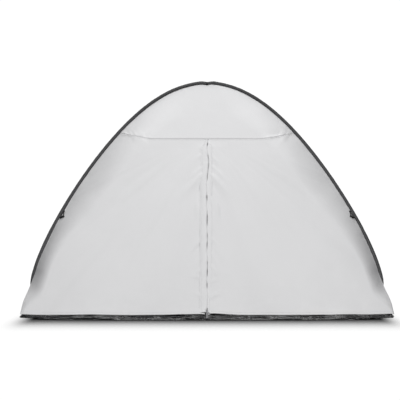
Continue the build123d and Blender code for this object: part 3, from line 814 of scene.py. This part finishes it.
# ------------------------------------------------------------------ roof panel
def roof(flip, name):
    nx, nv = 260, 110
    w = np.linspace(-1, 1, nx)
    xs = TOP_X * np.sign(w) * (1 - (1 - np.abs(w)) ** 1.12)
    zt = np.interp(np.abs(xs), SEWN[:, 0], SEWN[:, 2])
    zb = seam_z(xs)
    v = np.linspace(0, 1, nv)[:, None]
    v = 1 - (1 - v) ** 1.15
    X = np.broadcast_to(xs, (nv, nx)).copy()
    Z = zb + (np.maximum(zt, zb + 0.0008) - zb) * v
    Z[0] = Z[0] - 0.0030
    Y, d, k = front_y(X, Z)
    P = np.stack([X, Y, Z], 2)
    N = grid_normals(P)
    N *= -np.sign(N[:, :, 1:2] + 1e-9)
    ds = np.abs(Z - seam_z(X))
    off = fbm(X * 2.6 + 3.0 + flip, Z * 2.6, 2, 3) * 0.0030 * smooth(ds, 0.0, 0.08)
    off = off + noise2(k * 0.0032 * 9.0, d * 4, 4) * 0.0020 * np.exp(-d / 0.03) * smooth(ds, 0.0, 0.03)
    off = off + seam_pucker(X, ds, np.sign(X))
    off = off + noise2(X * 5 + 1.5, Z * 1.2, 3) * 0.002 * smooth(Z, 1.2, 1.35)
    off = off * np.minimum(1.0, 0.2 + d / 0.012)
    P = P + N * (off[:, :, None] + 0.0014 + 0.0007 * np.exp(-ds / 0.012)[:, :, None])
    P[:, :, 1] *= flip
    return cloth(name, P, silver, (0, -flip, 0.4), 0.0006), P


for flip, word in ((1, "front"), (-1, "rear")):
    ob, RP = roof(flip, word + "_roof_sheet")
    nr = grid_normals(RP)[1, 3:-3]
    nr = nr * -np.sign(nr[:, 1:2] + 1e-9) * flip
    st = stitches(word + "_roof_stitches", RP[1, 3:-3] + nr * 0.0004, nr)
    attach(st, "shell")
    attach(ob, "shell")
    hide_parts(word + "_roof_panel")


# ------------------------------------------------------------------- rear wall
def rear(name):
    nv, nx = 200, 340
    v = np.linspace(0, 1, nv)
    w = np.linspace(-1, 1, nx)
    w = np.sign(w) * (1 - (1 - np.abs(w)) ** 1.2)
    X = np.empty((nv, nx))
    Z = np.empty((nv, nx))
    for j in range(nv):
        z = SEAM_Z - (SEAM_Z - HEM_Z) * v[j]
        fade = max(0.0, 1 - (SEAM_Z - z) / 0.34) ** 1.7
        ze = z + (TOP_SEAM - SEAM_Z) * fade
        xe = sewn_x(ze)
        X[j] = xe * w
        Z[j] = z + (seam_z(X[j]) - SEAM_Z) * fade
    Y, d, k = front_y(X, Z)
    hemz = HEM_Z + 0.002 * noise2(X * 4.5 + 30, 0 * X, 1)
    Z = Z + (hemz - HEM_Z) * np.exp(-(Z - HEM_Z) / 0.05)
    P = np.stack([X, Y, Z], 2)
    N = grid_normals(P)
    N *= -np.sign(N[:, :, 1:2] + 1e-9)
    off = wrinkles(X, Z, d, k, 3.0 + np.sign(X) * 0.5 * smooth(np.abs(X), 0.0, 0.4))
    off = off * np.minimum(1.0, 0.25 + d / 0.01)
    P = P + N * (off[:, :, None] + 0.0014)
    cover = smooth(0.370 - Z, 0.0, 0.200) * np.exp(-d / 0.045) * smooth(Z, 0.040, 0.150)
    P[:, :, 1] -= 0.012 * cover
    P[:, :, 1] *= -1
    return cloth(name, P, silver, (0, 1, 0.4), 0.0006), P


ob, RW = rear("rear_sheet")
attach(ob, "shell")
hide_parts("rear_wall")


# ----------------------------------------------------------------- side panels
def side_sheet(side, name):
    nv, ny = 220, 90
    z = SEAM_Z - 0.0
    top, low = 1.5585, HEM_Z
    v = np.linspace(0, 1, nv)
    zs = top + (low - top) * (1 - (1 - v) ** 0.85)
    ex, ey = edge_at(zs)
    w = np.linspace(-1, 1, ny)
    # low down it reaches out to the edge of the cloth that covers the hoop
    reach = 0.012 * smooth(0.370 - zs, 0.0, 0.200) * smooth(zs, 0.040, 0.150)
    ey = np.maximum(0.001, np.abs(ey) - TUCK * smooth(zs, 0.19, 0.29) + reach)
    Y = ey[:, None] * w[None, :]
    X = np.repeat(ex[:, None], ny, 1)
    Z = np.repeat(zs[:, None], ny, 1)
    # the cloth is stretched between the hoops and dips a little in the middle
    dip = (1 - w[None, :] ** 2) * np.minimum(0.016, 0.05 * np.abs(ey)[:, None])
    X = X - dip
    X = X + 0.0030 * fbm(Y * 2.6 + side * 5, Z * 2.0, 5, 3) * (1 - w[None, :] ** 4)
    edge = (1 - np.abs(w[None, :])) * np.abs(ey)[:, None]
    X = X + 0.0022 * noise2(Z * 30.0 + side, np.sign(w)[None, :] * 3 + 0 * Z, 6) * np.exp(-edge / 0.03) * np.minimum(1, edge / 0.008)
    Z = Z + 0.002 * noise2(Y * 5.0 + side * 9, 0 * Z, 2) * np.exp(-(Z - HEM_Z) / 0.05)
    # where the front and rear cloth pass outside the hoop, this one stays inside
    X = X - 0.0025 * smooth(0.30 - Z, 0.0, 0.1) * (1 - np.abs(w[None, :]) ** 8)
    P = np.stack([X * side, Y, Z], 2)
    return cloth(name, P, silver, (side, 0, 0.3), 0.0006), P


for side, word in ((1, "right"), (-1, "left")):
    ob, SP = side_sheet(side, "side_sheet_" + word)
    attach(ob, "shell")
    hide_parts("side_panel_" + word)


# -------------------------------------------------------------------- bindings
def hoop_path(n=700):
    right = [(x, float(arch_y(z)), z) for x, z in ARCH]
    pts = [(0.86, -0.684, 0.012), (0.910, -0.664, 0.013)] + TURN[-2::-1] + right[::-1]
    pts = pts + [(0.05, float(arch_y(1.569)), 1.5680)] + [(-0.05, float(arch_y(1.569)), 1.5680)]
    pts = pts + [(-x, y, z) for x, y, z in right] + [(-x, y, z) for x, y, z in TURN] + [(-0.86, -0.684, 0.012)]
    p = spline(pts, n)
    p[:, 2] = np.maximum(p[:, 2], 0.0135)
    # the tie draws the two sleeves down a little at the top
    p[:, 2] -= 0.0032 * np.exp(-((p[:, 0] / 0.020) ** 2)) * (p[:, 2] > 1.4)
    p[:, 2] += 0.0022 * (p[:, 2] > 1.4) * np.exp(-(((np.abs(p[:, 0]) - 0.048) / 0.026) ** 2))
    return p


def binding_section(seed):
    a = np.linspace(0, 2 * math.pi, 28, endpoint=False)

    def f(i, s):
        puck = 1 + 0.03 * float(noise2(s * 55.0, seed, 2)) + 0.02 * float(noise2(s * 140.0, seed + 3, 3))
        r = np.stack([np.cos(a) * 0.0121 * puck, np.sin(a) * 0.0088 * puck], 1)
        # a raised edge where the tape is folded and sewn
        r *= (1 + 0.05 * np.exp(-(((a - math.pi) / 0.22) ** 2)) + 0.03 * np.sin(3 * a + s * 7.0))[:, None]
        return r

    return f


hp = hoop_path()
front_bind = sweep("front_binding", hp, binding_section(1.0), binding_mat)
rear_path = hp.copy()
rear_path[:, 1] *= -1
rear_bind = sweep("rear_binding", rear_path, binding_section(5.0), binding_mat)
for ob, word in ((front_bind, "front"), (rear_bind, "rear")):
    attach(ob, "shell")
    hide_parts(word + "_arch_binding")


for flip, word in ((1, "front"), (-1, "rear")):
    q = hp.copy()
    tng = np.gradient(q, axis=0)
    tng /= np.linalg.norm(tng, axis=1, keepdims=True)
    inn = np.cross(tng, [0.0, 1.0, 0.0])
    inn /= np.linalg.norm(inn, axis=1, keepdims=True)
    mid = np.array([0.0, 0.0, 0.6]) - q
    inn *= np.sign((inn * mid).sum(1, keepdims=True))
    front = np.cross(inn, tng)
    front *= -np.sign(front[:, 1:2] + 1e-9)
    a = math.radians(48)
    nrm = inn * math.sin(a) + front * math.cos(a)
    line = q + inn * (0.0121 * math.sin(a)) + front * (0.0088 * math.cos(a)) + nrm * 0.0003
    line, nrm = line[20:-20].copy(), nrm[20:-20].copy()
    line[:, 1] *= flip
    nrm[:, 1] *= flip
    ob = stitches(word + "_binding_stitches", line, nrm, 0.0065, 0.0042, 0.0005)
    ob.data.materials.clear()
    ob.data.materials.append(dark_thread)
    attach(ob, "shell")


# --------------------------------------------------------- hem sleeves (inside)
def hem_sleeve(flip, name):
    pts = [(-x, y, z) for x, y, z in [(0.90, -0.667, 0.0135)] + HEM_RUN] + [(x, y, z) for x, y, z in (HEM_RUN[::-1] + [(0.90, -0.667, 0.0135)])]
    pts = [(x, y, z - 0.0005) for x, y, z in pts]
    p = spline(pts, 420)
    p[:, 1] *= flip
    a = np.linspace(0, 2 * math.pi, 24, endpoint=False)

    def f(i, s):
        k = 1 + 0.06 * float(noise2(s * 40.0, 2.0 + flip, 4))
        r = np.stack([np.cos(a) * 0.0080 * k, np.sin(a) * 0.0075 * k], 1)
        return r * (1 + 0.04 * np.sin(5 * a + 60 * s))[:, None]

    return sweep(name, p, f, ground_mat)


for flip, word in ((1, "front"), (-1, "rear")):
    ob = hem_sleeve(flip, word + "_ground_sleeve")
    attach(ob, "shell")
    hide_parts(word + "_hem_sleeve")


# ----------------------------------------------------------------- groundsheet
def outline(n=1100):
    """The footprint's outline on the ground, evenly spaced, anticlockwise."""
    xs = np.linspace(0, CORNER_X + 0.0005, 160)
    front = np.stack([xs, face_y(0) + bow(xs) + 0.0034], 1)
    ys = np.linspace(front[-1, 1], 0, 60)[1:]
    sidep = np.stack([np.full(len(ys), CORNER_X + 0.0005), ys], 1)
    q = np.vstack([front, sidep])
    right = np.vstack([q, (q * [1, -1])[-2::-1]])
    full = np.vstack([right, (right * [-1, 1])[-2:0:-1]])
    full = np.vstack([full, full[:1]])
    s = np.r_[0, np.cumsum(np.linalg.norm(np.diff(full, axis=0), axis=1))]
    t = np.linspace(0, s[-1], n, endpoint=False)
    return np.stack([np.interp(t, s, full[:, i]) for i in range(2)], 1), t


def groundsheet(name):
    O, t = outline()
    n = len(O)
    tan = np.roll(O, -1, 0) - np.roll(O, 1, 0)
    tan /= np.linalg.norm(tan, axis=1, keepdims=True)
    out = np.stack([tan[:, 1], -tan[:, 0]], 1)
    for _ in range(3):
        out = (np.roll(out, 1, 0) + out + np.roll(out, -1, 0)) / 3
    out /= np.linalg.norm(out, axis=1, keepdims=True)
    onface = np.abs(out[:, 1]) > 0.6
    ax = np.abs(O[:, 0])
    height = np.where(onface, 0.044 - 0.021 * smooth(ax, 0.72, 1.12), 0.028)
    for _ in range(40):
        height = (np.roll(height, 1) + height + np.roll(height, -1)) / 3
    # the corners curl up off the ground a little
    lift = 0.0085 * smooth(ax, 0.86, 1.15) * smooth(np.abs(O[:, 1]), 0.45, 0.70)
    lean = np.where(onface, FACE_SLOPE, 0.10)
    for _ in range(25):
        lean = (np.roll(lean, 1) + lean + np.roll(lean, -1)) / 3
    hs = np.linspace(0, 1, 22)

    def wall(offset, back):
        rings = []
        for h in hs:
            zz = height * h
            u = t * 1.0
            # long creases that run along the rim, and short crossing ones
            cr = 0.0060 * noise2(u * 5.5 + h * 2.0, h * 2.6 + 0.0 * u, 1) + 0.0036 * noise2(u * 15.0 - h * 3.0, h * 4.0 + 4 + 0.0 * u, 2)
            cr = cr + 0.0022 * noise2(u * 42.0 + h * 5.0, h * 7.0 + 2 + 0.0 * u, 3)
            belly = 0.0030 * math.sin(math.pi * min(1.0, h * 1.15)) * (1 + 0.5 * noise2(u * 3.3, 7.0 + 0.0 * u, 5))
            tuck = -0.0030 * (1 - h) ** 6
            keep = 1 - smooth(h, 0.55, 0.85)
            move = (cr * (0.25 + 0.75 * keep) * min(1, 0.2 + h * 5) + belly * keep) * 0.9 + tuck - lean * zz - 0.0022 + offset
            pt = O + out * move[:, None]
            rings.append(np.column_stack([pt, zz + (back + lift) * (1 - h)]))
        return rings

    outer = wall(0.0, 0.0)
    inner = wall(-0.0013, 0.0013)
    floor_in, floor_out = [], []
    for f in np.linspace(0.992, 0.0, 60)[:-1]:
        b = inner[0][:, :2] * f
        zf = 0.0016 + 0.0030 * np.abs(fbm(b[:, 0] * 6 + 3, b[:, 1] * 6, 2, 4)) * smooth(1 - f, 0.0, 0.04)
        curl = lift * smooth(f, 0.86, 1.0)
        floor_in.append(np.column_stack([b, zf + curl]))
        floor_out.append(np.column_stack([b, curl]))
    rings = floor_out[::-1] + outer + inner[::-1] + floor_in
    rings[len(floor_out)][:, 2] = lift
    P = np.array(rings)
    m = len(P)
    V = P.reshape(-1, 3)
    s = np.zeros(m)
    s[1:] = np.cumsum(np.linalg.norm(np.diff(P, axis=0), axis=2).mean(1))
    U = np.stack([np.broadcast_to(t, (m, n)), np.broadcast_to(s[:, None], (m, n))], 2).reshape(-1, 2)
    # the floor's weave runs straight across it
    nf = len(floor_out)
    U = U.reshape(m, n, 2).copy()
    U[:nf] = P[:nf, :, :2]
    U[-nf:] = P[-nf:, :, :2]
    a = np.arange(m * n).reshape(m, n)
    b = np.roll(a, -1, 1)
    F = np.stack([a[:-1], b[:-1], b[1:], a[1:]], -1).reshape(-1, 4).tolist()
    F.append(a[0][::-1].tolist())
    F.append(a[-1].tolist())
    ob = build(name, V, F, U.reshape(-1, 2), ground_mat)
    fix_normals(ob)
    return ob


ob = groundsheet("groundsheet_tub")
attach(ob, "shell")
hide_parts("groundsheet")

# ------------------------------------------------------------ small CAD pieces
for node, mat in {
    "front_hoop_wire": steel_mat, "rear_hoop_wire": steel_mat,
    "front_hoop_ferrule": ferrule_mat, "rear_hoop_ferrule": ferrule_mat,
    "front_seam_tape": seam_mat, "rear_seam_tape": seam_mat,
    "apex_tie": webbing_mat,
    "tieback_tab_left": webbing_mat, "tieback_tab_right": webbing_mat,
    "tieback_loop_left": webbing_mat, "tieback_loop_right": webbing_mat,
    "tieback_toggle_left": toggle_mat, "tieback_toggle_right": toggle_mat,
    "zip_tape_left": tape_mat, "zip_tape_right": tape_mat,
    "zip_coil_left": coil_mat, "zip_coil_right": coil_mat,
    "zip_top_stop": ferrule_mat, "zip_bottom_stop": ferrule_mat,
    "zip_slider": slider_mat, "zip_pull": slider_mat, "zip_pull_tag": ribbon_mat,
}.items():
    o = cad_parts[node]
    if not o.data.materials:
        o.data.materials.append(mat)
    for sl in o.material_slots:
        sl.material = mat

# ---------------------------------------------------------------- floor with a painted contact shadow, light
floor_m = M("studio_floor_painted_shadow")
x, y, z = floor_m.xyz(floor_m.obj())
# painted shadow: the floor is dark near the tent's footprint, standing for the tent's contact shadow, and turns
# clear further out
qx = floor_m.math("MAXIMUM", floor_m.math("SUBTRACT", floor_m.math("ABSOLUTE", x), 1.06), 0.0)
qx = floor_m.math("MULTIPLY", qx, 3.6)
qf = floor_m.math("MAXIMUM", floor_m.math("SUBTRACT", floor_m.math("MULTIPLY", y, -1.0), 0.72), 0.0)
qb = floor_m.math("MULTIPLY", floor_m.math("MAXIMUM", floor_m.math("SUBTRACT", y, 0.70), 0.0), 2.6)
qy = floor_m.math("ADD", qf, qb)
# distance from the footprint, which sets how dark the painted shadow is
dd = floor_m.math("SQRT", floor_m.math("ADD", floor_m.math("MULTIPLY", qx, qx), floor_m.math("MULTIPLY", qy, qy)))
dd = floor_m.math("ADD", dd, floor_m.math("MULTIPLY", floor_m.noise(floor_m.obj(), 1.5, 2.0), 0.02))
grain = floor_m.noise(floor_m.obj(), 40.0, 3.0)
# this dark base colour is the painted contact shadow
floor_m.link(floor_m.mix(grain, (0.085, 0.085, 0.086), (0.100, 0.100, 0.101)), floor_m.b.inputs["Base Color"])
ramp = floor_m.node("ShaderNodeValToRGB")
ramp.color_ramp.interpolation = "LINEAR"
els = ramp.color_ramp.elements
# painted shadow falloff: dark at the hem, fully clear by 0.75 from the footprint
painted_shadow_stops = [(0.08, 0.0), (0.133, 0.09), (0.186, 0.21), (0.237, 0.34), (0.287, 0.48), (0.336, 0.60), (0.385, 0.70), (0.432, 0.78), (0.478, 0.85), (0.523, 0.89), (0.60, 0.94), (0.75, 1.0)]
els[0].position, els[0].color = 0.0, (0, 0, 0, 1)
els[1].position, els[1].color = 1.0, (1, 1, 1, 1)
for pos, c in painted_shadow_stops:
    e = els.new(pos)
    e.color = (c, c, c, 1)
floor_m.link(dd, ramp.inputs[0])
clear = floor_m.node("ShaderNodeBsdfTransparent")
both = floor_m.node("ShaderNodeMixShader")
fl_out = [n for n in floor_m.t.nodes if n.type == "OUTPUT_MATERIAL"][0]
floor_m.link(ramp.outputs[0], both.inputs[0])
floor_m.link(floor_m.b.outputs[0], both.inputs[1])
floor_m.link(clear.outputs[0], both.inputs[2])
floor_m.link(both.outputs[0], fl_out.inputs["Surface"])
set_in(floor_m.b, Roughness=0.9)
floor_m.b.inputs["Specular IOR Level"].default_value = 0.1
floor = build("studio_ground", [(-40, -40, -0.0012), (40, -40, -0.0012), (40, 40, -0.0012), (-40, 40, -0.0012)], [(0, 1, 2, 3)], None, floor_m.m, False)

scene = bpy.context.scene
scene.view_settings.view_transform = "Standard"
scene.view_settings.look = "None"
scene.view_settings.exposure = 0.0
scene.view_settings.gamma = 1.0

world = bpy.data.worlds.new("studio")
scene.world = world
world.use_nodes = True
wt = world.node_tree
wt.nodes.clear()
wo = wt.nodes.new("ShaderNodeOutputWorld")
mixs = wt.nodes.new("ShaderNodeMixShader")
lp = wt.nodes.new("ShaderNodeLightPath")
cam_bg = wt.nodes.new("ShaderNodeBackground")
cam_bg.inputs[0].default_value = (1, 1, 1, 1)
cam_bg.inputs[1].default_value = 1.05
lit_bg = wt.nodes.new("ShaderNodeBackground")
tc = wt.nodes.new("ShaderNodeTexCoord")
sx = wt.nodes.new("ShaderNodeSeparateXYZ")
wt.links.new(tc.outputs["Generated"], sx.inputs[0])
ab = wt.nodes.new("ShaderNodeMath")
ab.operation = "ABSOLUTE"
wt.links.new(sx.outputs[0], ab.inputs[0])
side_fall = wt.nodes.new("ShaderNodeMapRange")
wt.links.new(ab.outputs[0], side_fall.inputs[0])
for i, v in enumerate((0.08, 0.50, 1.0, 0.10)):
    side_fall.inputs[i + 1].default_value = v
col = wt.nodes.new("ShaderNodeCombineColor")
up_only = wt.nodes.new("ShaderNodeMapRange")
wt.links.new(sx.outputs[2], up_only.inputs[0])
for i, v in enumerate((-0.06, 0.02, 0.0, 1.0)):
    up_only.inputs[i + 1].default_value = v
lit = wt.nodes.new("ShaderNodeMath")
lit.operation = "MULTIPLY"
wt.links.new(side_fall.outputs[0], lit.inputs[0])
wt.links.new(up_only.outputs[0], lit.inputs[1])
for i in range(3):
    wt.links.new(lit.outputs[0], col.inputs[i])
wt.links.new(col.outputs[0], lit_bg.inputs[0])
lit_bg.inputs[1].default_value = 0.50
wt.links.new(lp.outputs["Is Camera Ray"], mixs.inputs[0])
wt.links.new(lit_bg.outputs[0], mixs.inputs[1])
wt.links.new(cam_bg.outputs[0], mixs.inputs[2])
wt.links.new(mixs.outputs[0], wo.inputs[0])


def area(name, loc, target, size, power):
    from mathutils import Vector

    d = bpy.data.lights.new(name, "AREA")
    d.shape = "RECTANGLE"
    d.size, d.size_y = size
    d.energy = power
    o = bpy.data.objects.new(name, d)
    bpy.context.scene.collection.objects.link(o)
    o.location = loc
    o.rotation_euler = (Vector(target) - Vector(loc)).to_track_quat("-Z", "Y").to_euler()
    return o


area("top_soft", (0, 0.6, 4.6), (0, 0.0, 0.0), (3.2, 4.0), 75.0)
area("rear_soft", (0, 6.0, 3.2), (0, 0.3, 0.6), (4.0, 2.0), 150.0)
area("front_soft_left", (-2.1, -4.8, 3.9), (0, -0.3, 0.7), (1.6, 1.4), 117.0)
area("front_soft_right", (2.1, -4.8, 3.9), (0, -0.3, 0.7), (1.6, 1.4), 117.0)

cam_d = bpy.data.cameras.new("camera")
cam = bpy.data.objects.new("camera", cam_d)
scene.collection.objects.link(cam)
cam.location = (0.0, -6.29, 0.62)
cam.rotation_euler = (math.pi / 2, 0.0, 0.0)
cam_d.sensor_width = 36.0
cam_d.lens = 898.0 * 36.0 / 400.0
cam_d.shift_x = -7.02 / 400.0
cam_d.shift_y = 19.1 / 400.0
scene.camera = cam
